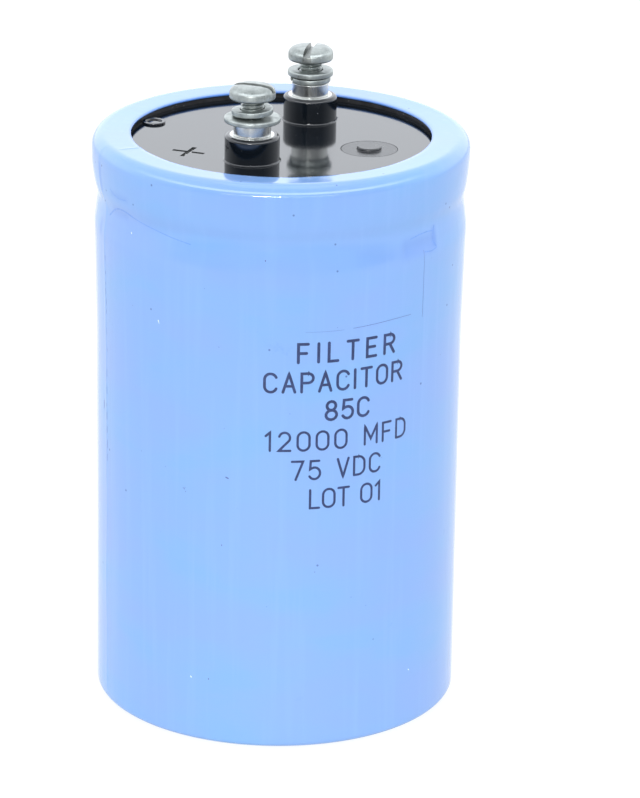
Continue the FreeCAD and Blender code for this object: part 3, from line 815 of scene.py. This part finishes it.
def thin_solids(name, strokes, material, thickness):
    """One piece from many flat strokes, each a thin closed film laid on the sleeve."""
    vertices, faces = [], []
    for number, (points, width) in enumerate(strokes):
        flat, flat_faces = ribbon(points, width)
        # neighbours differ a little in height, so that no two films share one surface
        top = thickness * (1 + 0.12 * (number % 5))
        first, count = len(vertices), len(flat)
        vertices += [wrapped(point, top) for point in flat]
        vertices += [wrapped(point, -0.03) for point in flat]
        edges = set()
        below = first + count
        for face in flat_faces:
            faces.append(tuple(first + i for i in face))
            faces.append(tuple(below + i for i in reversed(face)))
            edges |= set(zip(face, face[1:] + face[:1]))
        for one, other in edges:
            if (other, one) not in edges:
                faces.append((first + other, first + one, below + one, below + other))
    return add_object(name, vertices, faces, material, smooth=False)


def line_strokes(words, start, end, width, baseline):
    """The strokes of a line of letters, spaced evenly from start to end."""
    across = LETTER_WIDTH / GLYPHS["O"][0]
    advance = [GLYPHS[letter][0] * across for letter in words]
    gap = (end - start - sum(advance)) / (len(words) - 1)
    cursor = start
    strokes = []
    for letter, step in zip(words, advance):
        for stroke in GLYPHS[letter][1]:
            path = [(cursor + x * across, baseline + y * LETTER_HEIGHT) for x, y in stroke]
            strokes.append((path, width))
        cursor += step + gap
    return strokes


def make_print(material):
    strokes = []
    for number, (words, start, end, width) in enumerate(PRINT_LINES):
        baseline = FIRST_BASELINE - LINE_PITCH * number
        strokes += line_strokes(words, start, end, width, baseline)
    thin_solids("printed_rating", strokes, material, INK_THICKNESS)


def on_sleeve(angle, height):
    """A place on the sleeve as a flat (along, up) point."""
    return (math.radians(angle) * SLEEVE_RADIUS, height)


# Painted shade of thin folds in the vinyl, as dark ribbons: (width, then angle and height of each
# point)
CREASE_SHADE_LINES = (
    (0.34, (-66.0, 109.2), (-63.7, 110.4), (-61.1, 111.4), (-58.9, 111.8), (-56.1, 111.9),
     (-53.8, 111.7), (-51.5, 111.3)),
    (0.16, (-51.5, 111.3), (-46.6, 110.7), (-41.6, 110.2), (-35.3, 109.5), (-28.0, 108.8)),
    (0.16, (-63.4, 115.4), (-61.0, 114.6), (-57.5, 114.2), (-54.0, 114.5)),
    (0.20, (43.7, 108.6), (47.4, 109.0), (51.0, 109.1), (54.2, 108.9)),
    (0.26, (55.0, 109.8), (54.6, 108.8), (54.0, 107.6), (54.4, 106.4), (55.6, 105.3)),
    (0.18, (55.4, 105.1), (52.9, 104.8), (49.6, 105.1)),
)


def make_crease_shade(material):
    # painted shade: darker blue ribbons where the vinyl is creased
    strokes = [([on_sleeve(*place) for place in places], width) for width, *places in CREASE_SHADE_LINES]
    thin_solids("sleeve_crease_shade", strokes, material, 0.006)


# (angle, height, size) of each dark speck and each pale flake
SPECKS = (
    (-30.1, 56.1, 0.16), (-29.7, 55.9, 0.2), (-29.3, 55.4, 0.14), (-29.5, 56.3, 0.12),
    (-17.0, 44.9, 0.2), (-4.3, 107.1, 0.24), (-18.3, 88.0, 0.14), (12.0, 39.5, 0.16),
    (-16.5, 70.5, 0.1), (30.0, 68.0, 0.1), (24.0, 33.0, 0.12), (-21.0, 14.5, 0.22),
)
FLAKES = (
    (-39.6, 91.2, 0.2), (-39.4, 90.8, 0.12), (-27.1, 14.3, 0.2), (47.0, 13.0, 0.16),
    (-52.0, 108.0, 0.2), (140.0, 60.0, 0.25), (-120.0, 33.0, 0.22), (95.0, 84.0, 0.2),
)


def make_marks(dark, pale):
    """The scratch, crease dirt and specks that handling has left on the sleeve."""
    random.seed(7)
    scratch = [on_sleeve(angle, 92.2 - 0.35 * math.sin(angle / 9)) for angle in range(8, 47, 3)]
    strokes = [(scratch[:5], 0.05), (scratch[5:], 0.09)]
    # dirt in the flat crease shows as short dashes
    height = 100.0
    while height > 56.0:
        length = random.uniform(0.5, 2.2)
        angle = FLAT_CREASE_ANGLE + 0.8 + random.uniform(-0.15, 0.15)
        strokes.append(([on_sleeve(angle, height), on_sleeve(angle, height - length)], 0.10))
        height -= length + random.uniform(0.8, 3.2)
    strokes.append(([on_sleeve(49.1, 105.5), on_sleeve(49.4, 99.0), on_sleeve(49.3, 91.2)], 0.07))
    strokes.append(([on_sleeve(-15.8, 59.9), on_sleeve(-15.1, 59.7)], 0.28))
    strokes.append(([on_sleeve(-71.1, 67.4), on_sleeve(-71.1, 65.9)], 0.3))
    specks = list(SPECKS)
    for _ in range(36):
        angle, height = random.uniform(-180, 180), random.uniform(6, 104)
        specks.append((angle, height, random.uniform(0.05, 0.10)))
    for angle, height, size in specks:
        tail = random.uniform(0.05, 0.2)
        strokes.append(([on_sleeve(angle, height), on_sleeve(angle, height - tail)], size))
    thin_solids("handling_marks", strokes, dark, 0.008)
    strokes = []
    for angle, height, size in FLAKES:
        strokes.append(([on_sleeve(angle, height), on_sleeve(angle + 0.2, height - 0.2)], size))
    thin_solids("paint_flecks", strokes, pale, 0.01)


# --- terminal hardware ---


def thread_radius(angle, height, tip, underside):
    """Radius of the thread at one place, with its tip chamfer and the neck under the head."""
    phase = (height / THREAD_PITCH - angle / (2 * math.pi)) % 1.0
    flank = min(1.0, max(0.0, (abs(2 * phase - 1) - 0.14) / 0.62))
    radius = THREAD_RADIUS - THREAD_DEPTH * (1 - flank)
    neck = smooth_step((height - (underside - 0.75)) / 0.45)
    radius += (THREAD_RADIUS - THREAD_DEPTH * 0.75 - radius) * neck
    return min(radius, THREAD_RADIUS - 0.75 + (height - tip))


def slot_cutter(top):
    """A box that cuts the slot down from the top of a screw's head."""
    height = 4.0
    size = Vector((SCREW_HEAD_RADIUS * 3, SLOT_WIDTH, height)) * MM
    middle = Vector((0, 0, top - SLOT_DEPTH + height / 2)) * MM
    box = bmesh.new()
    bmesh.ops.create_cube(box, size=1.0)
    bmesh.ops.scale(box, vec=size, verts=box.verts)
    bmesh.ops.translate(box, vec=middle, verts=box.verts)
    mesh = bpy.data.meshes.new("slot_cutter")
    box.to_mesh(mesh)
    box.free()
    return linked("slot_cutter", mesh)


def screw_head(node, underside, top, material, slot_material):
    """A worn domed head, with its slot in a second material, darkened by dirt and painted shade."""
    outline = rounded_outline(
        [
            (0.01, underside, 0),
            (SCREW_HEAD_RADIUS, underside, 0.45),
            (SCREW_HEAD_RADIUS, top - 0.42, 1.45),
            (SCREW_HEAD_RADIUS * 0.42, top, 5.0),
            (0.01, top, 0),
        ],
        steps=9,
    )
    vertices, _ = turned_ring(outline, HEAD_SEGMENTS)
    faces = capped_faces(len(outline), HEAD_SEGMENTS)
    head = add_object(node + "_body", vertices, faces, material, node)
    cutter = slot_cutter(top)
    apply_modifiers(
        head,
        ("BOOLEAN", {"object": cutter, "operation": "DIFFERENCE", "solver": "EXACT"}),
        ("BEVEL", {"width": 0.09 * MM, "segments": 2, "limit_method": "ANGLE", "angle_limit": 0.9}),
    )
    bpy.data.objects.remove(cutter)
    head.data.materials.append(slot_material)
    slot_floor = (top - SLOT_DEPTH + 0.1) * MM
    for face in head.data.polygons:
        across, height = abs(face.center.y), face.center.z
        in_slot = across < (SLOT_WIDTH / 2 + 0.05) * MM and height > (underside + 0.5) * MM
        if in_slot and (abs(face.normal.y) > 0.8 or height < slot_floor):
            face.material_index = 1
    return head


def screw_thread(node, tip, underside, material):
    """The shank, with a real helical thread."""
    vertices = []
    heights = np.arange(tip, underside + 0.3, THREAD_PITCH / ROWS_PER_PITCH)
    for height in heights:
        for index in range(THREAD_SEGMENTS):
            angle = 2 * math.pi * index / THREAD_SEGMENTS
            radius = thread_radius(angle, height, tip, underside)
            vertices.append((radius * math.cos(angle), radius * math.sin(angle), height))
    faces = capped_faces(len(heights), THREAD_SEGMENTS)
    return add_object(node + "_thread", vertices, faces, material, node)


def make_screw(polarity, material, slot_material):
    """Slotted pan-head screw: its head and thread as one piece."""
    node = "terminal_screw_" + polarity
    tip, top = bottom_of(node), top_of(node)
    underside = top - SCREW_HEAD_HEIGHT
    head = screw_head(node, underside, top, material, slot_material)
    thread = screw_thread(node, tip, underside, material)
    joined = bmesh.new()
    joined.from_mesh(head.data)
    joined.from_mesh(thread.data)
    place = Matrix.Translation(Vector((*terminal_axis(polarity), 0)) * MM)
    turn = Matrix.Rotation(math.radians(SLOT_ANGLES[polarity]), 4, "Z")
    bmesh.ops.transform(joined, matrix=place @ turn, verts=joined.verts)
    joined.to_mesh(head.data)
    joined.free()
    bpy.data.objects.remove(thread)
    head.name = "screw_" + polarity
    shade_by_angle(head, 32)
    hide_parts(node)


def shade_by_angle(piece, degrees):
    """Smooth shading, with edges sharper than this angle kept crisp."""
    mesh = piece.data
    mesh.polygons.foreach_set("use_smooth", [True] * len(mesh.polygons))
    mesh.set_sharp_from_angle(angle=math.radians(degrees))


def make_flat_washer(polarity, material):
    """Stamped washer: rolled upper edge, sharper lower edge, and not quite flat."""
    node = "flat_washer_" + polarity
    low, high = bottom_of(node), top_of(node)
    bore, radius = FLAT_WASHER_BORE_RADIUS, radius_of(node)
    outline = rounded_outline(
        [(bore, low, 0.12), (radius, low, 0.15), (radius, high, 0.38), (bore, high, 0.22)], steps=5
    )

    def warp(r, z, angle):
        dish = 0.03 * math.sin(2 * angle + 0.6) * (r / radius)
        rim = 0.035 * noise.noise(Vector((math.cos(angle) * 2, math.sin(angle) * 2, radius)))
        return r + rim * smooth_step((r - 3.5) / 1.0), z + max(0.0, dish)

    vertices, faces = turned_ring(outline, 120, terminal_axis(polarity), warp)
    washer = add_object("plain_washer_" + polarity, vertices, faces, material, node)
    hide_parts(node)


def make_lock_washer(polarity, material):
    """Split spring washer wound as one turn of square wire with rounded edges."""
    node = "lock_washer_" + polarity
    low = bottom_of(node)
    x, y = terminal_axis(polarity)
    climb, gap_angle = LOCK_WASHER_WINDING[polarity]
    bore, outer, thickness = LOCK_WASHER_BORE_RADIUS, LOCK_WASHER_RADIUS, LOCK_WASHER_THICKNESS
    corners = ((bore, 0, 0.14), (outer, 0, 0.2), (outer, thickness, 0.26), (bore, thickness, 0.16))
    section = rounded_outline(corners, steps=4)
    rings = 110
    vertices = []
    for ring in range(rings):
        share = ring / (rings - 1)
        swept = LOCK_WASHER_HALF_GAP + (360 - 2 * LOCK_WASHER_HALF_GAP) * share
        angle = math.radians(gap_angle + swept)
        # the cut ends are sheared, so they lean
        for radius, height in section:
            lean = 0.10 * (height / thickness - 0.5) * (1 if share < 0.5 else -1)
            turn = angle + lean * smooth_step(1 - min(share, 1 - share) * rings / 3)
            along, across = x + radius * math.cos(turn), y + radius * math.sin(turn)
            vertices.append((along, across, low + height + climb * share))
    faces = capped_faces(rings, len(section))
    washer = add_object("spring_washer_" + polarity, vertices, faces, material, node)
    shade_by_angle(washer, 40)
    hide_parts(node)


# --- studio ---


def make_floor(material):
    """A wide floor, a hair below the sleeve's base so that the two don't share a plane."""
    size = 6.0
    level = -0.05 * MM
    mesh = bpy.data.meshes.new("floor")
    corners = [(x * size, y * size, level) for x, y in ((-1, -1), (1, -1), (1, 1), (-1, 1))]
    mesh.from_pydata(corners, [], [(0, 1, 2, 3)])
    mesh.materials.append(material)
    linked("floor", mesh)


# Brightness of the room by the sine of the elevation, behind the can and behind the camera
SKY_BEHIND_THE_CAN = ((0.0, 1.8), (0.3, 2.0), (0.4, 1.97), (0.55, 1.7), (0.8, 1.5), (1.0, 1.2))
SKY_BEHIND_THE_CAMERA = (
    (0.0, 0.45), (0.36, 0.6), (0.44, 5.0), (0.58, 5.0), (0.7, 0.8), (1.0, 0.5)
)
SKY_TINT = (0.95, 0.985, 1.04)
SKY_STRENGTH = 5.2
# where, along +Y, the one end of the room gives way to the other
SKY_BLEND = (-0.6, 0.3)

# (name, place, target, size, power) of each lamp, in metres and watts
LAMPS = (
    ("overhead", (0.0, 0.05, 1.15), (0, 0, 0.1), (0.62, 0.62), 1.0),
    ("low_window", (-0.19, -1.35, 0.24), (0, 0, 0.12), (0.42, 0.05), 4.5),
    ("window_row", (0.0, -1.36, 0.24), (0, 0, 0.12), (1.8, 0.04), 2.6),
)


def make_sky():
    """A pale room: bright walls, a darker ceiling, and the dark end where the camera stands."""
    world = bpy.data.worlds.new("studio")
    bpy.context.scene.world = world
    world.use_nodes = True
    nodes, links = world.node_tree.nodes, world.node_tree.links
    place = nodes.new("ShaderNodeTexCoord")
    split = nodes.new("ShaderNodeSeparateXYZ")
    links.new(place.outputs["Generated"], split.inputs["Vector"])
    ends = []
    for stops in (SKY_BEHIND_THE_CAMERA, SKY_BEHIND_THE_CAN):
        ramp = nodes.new("ShaderNodeValToRGB")
        set_stops(
            ramp, [(sine, [level / SKY_STRENGTH * c for c in SKY_TINT]) for sine, level in stops]
        )
        links.new(split.outputs["Z"], ramp.inputs["Fac"])
        ends.append(ramp.outputs["Color"])
    depth = nodes.new("ShaderNodeMapRange")
    links.new(split.outputs["Y"], depth.inputs["Value"])
    depth.inputs["From Min"].default_value, depth.inputs["From Max"].default_value = SKY_BLEND
    blend = nodes.new("ShaderNodeMix")
    blend.data_type = "RGBA"
    links.new(depth.outputs["Result"], blend.inputs[0])
    links.new(ends[0], blend.inputs[6])
    links.new(ends[1], blend.inputs[7])
    background = nodes["Background"]
    links.new(blend.outputs[2], background.inputs["Color"])
    background.inputs["Strength"].default_value = SKY_STRENGTH


def make_lamp(name, place, target, size, power):
    """A soft rectangular lamp."""
    light = bpy.data.lights.new(name, "AREA")
    light.shape = "RECTANGLE"
    light.size, light.size_y = size
    light.energy = power
    lamp = linked(name, light)
    turn = (Vector(target) - Vector(place)).to_track_quat("-Z", "Y").to_matrix().to_4x4()
    lamp.matrix_world = Matrix.Translation(Vector(place)) @ turn


# In metres and radians, and the lens in millimetres
CAMERA_DISTANCE = 0.8415
CAMERA_HEIGHT = 0.3654
CAMERA_YAW = 0.0106
CAMERA_PITCH = 0.3440
CAMERA_ROLL = 0.0161
LENS = 189.4


def make_camera():
    """A long lens in front of the can, looking down at it by about twenty degrees."""
    data = bpy.data.cameras.new("camera")
    data.lens = LENS
    data.sensor_width = 36.0
    data.clip_start = 0.01
    camera = linked("camera", data)
    yaw = Matrix.Rotation(-CAMERA_YAW, 4, "Z")
    pitch = Matrix.Rotation(math.pi / 2 - CAMERA_PITCH, 4, "X")
    turn = yaw @ pitch @ Matrix.Rotation(CAMERA_ROLL, 4, "Z")
    camera.matrix_world = Matrix.Translation((0, -CAMERA_DISTANCE, CAMERA_HEIGHT)) @ turn
    bpy.context.scene.camera = camera


# --- build ---


def dress(node, material):
    """Gives a CAD node its finished material."""
    for slot in NODES[node].material_slots:
        slot.material = material


def dress_cad_nodes():
    dress("header", header_phenolic())
    dress("gasket_ring", rubber("gasket_rubber", (0.012, 0.012, 0.014), 0.5))
    dress("vent_plug", rubber("vent_rubber", (0.022, 0.023, 0.026), 0.28))
    for polarity in ("positive", "negative"):
        dress("terminal_insert_" + polarity, turned_aluminium("insert_aluminium_" + polarity))
    dress("can", drawn_aluminium("can_aluminium", (0.78, 0.79, 0.80), 0.3, (900.0, 900.0, 20.0)))
    dress("base_disc", pressed_card("base_card", (0.10, 0.085, 0.07)))
    dress("anode_foil", etched_foil("anode_foil", (0.42, 0.42, 0.44)))
    dress("cathode_foil", etched_foil("cathode_foil", (0.62, 0.62, 0.63)))
    for node in ("separator_inner", "separator_outer"):
        dress(node, fibrous(node + "_paper", (0.62, 0.46, 0.26), 700.0))
    dress("winding_wrap", fibrous("wrap_paper", (0.68, 0.55, 0.36), 500.0))
    dress("closing_tape", tape_film())
    for node in ("top_insulating_disc", "bottom_insulating_disc"):
        dress(node, pressed_card(node + "_card", (0.42, 0.28, 0.15)))
    dress("anchoring_compound", potting_compound())
    strip = drawn_aluminium("tab_aluminium", (0.80, 0.80, 0.81), 0.28, (60.0, 1500.0, 60.0))
    for node in ("anode_tab", "cathode_tab", "tab_rivet_positive", "tab_rivet_negative"):
        dress(node, strip)


def main():
    make_camera()
    make_sky()
    for lamp in LAMPS:
        make_lamp(*lamp)
    make_floor(floor_paint())
    zinc = zinc_plate("zinc_steel")
    # the slots' zinc is darkened: partly dirt, partly painted shade
    slot_zinc_dirt_and_shade = zinc_plate("zinc_steel_slot", 0.5)
    dress_cad_nodes()
    make_sleeve(sleeve_vinyl())
    make_print(print_ink())
    # painted shade along the creases, as darker blue ribbons
    make_crease_shade(sleeve_mark_or_shade("crease_shade", (0.108, 0.222, 0.53), 0.12))
    make_marks(
        sleeve_mark_or_shade("crease_dirt", (0.05, 0.08, 0.24), 0.5),
        sleeve_mark_or_shade("fleck_white", (0.55, 0.64, 0.76), 0.6),
    )
    make_screw("positive", zinc, slot_zinc_dirt_and_shade)
    make_screw("negative", zinc, slot_zinc_dirt_and_shade)
    make_flat_washer("positive", zinc)
    make_flat_washer("negative", zinc)
    make_lock_washer("positive", zinc)
    make_lock_washer("negative", zinc)
    view = bpy.context.scene.view_settings
    view.view_transform = "Standard"
    view.look = "None"


main()
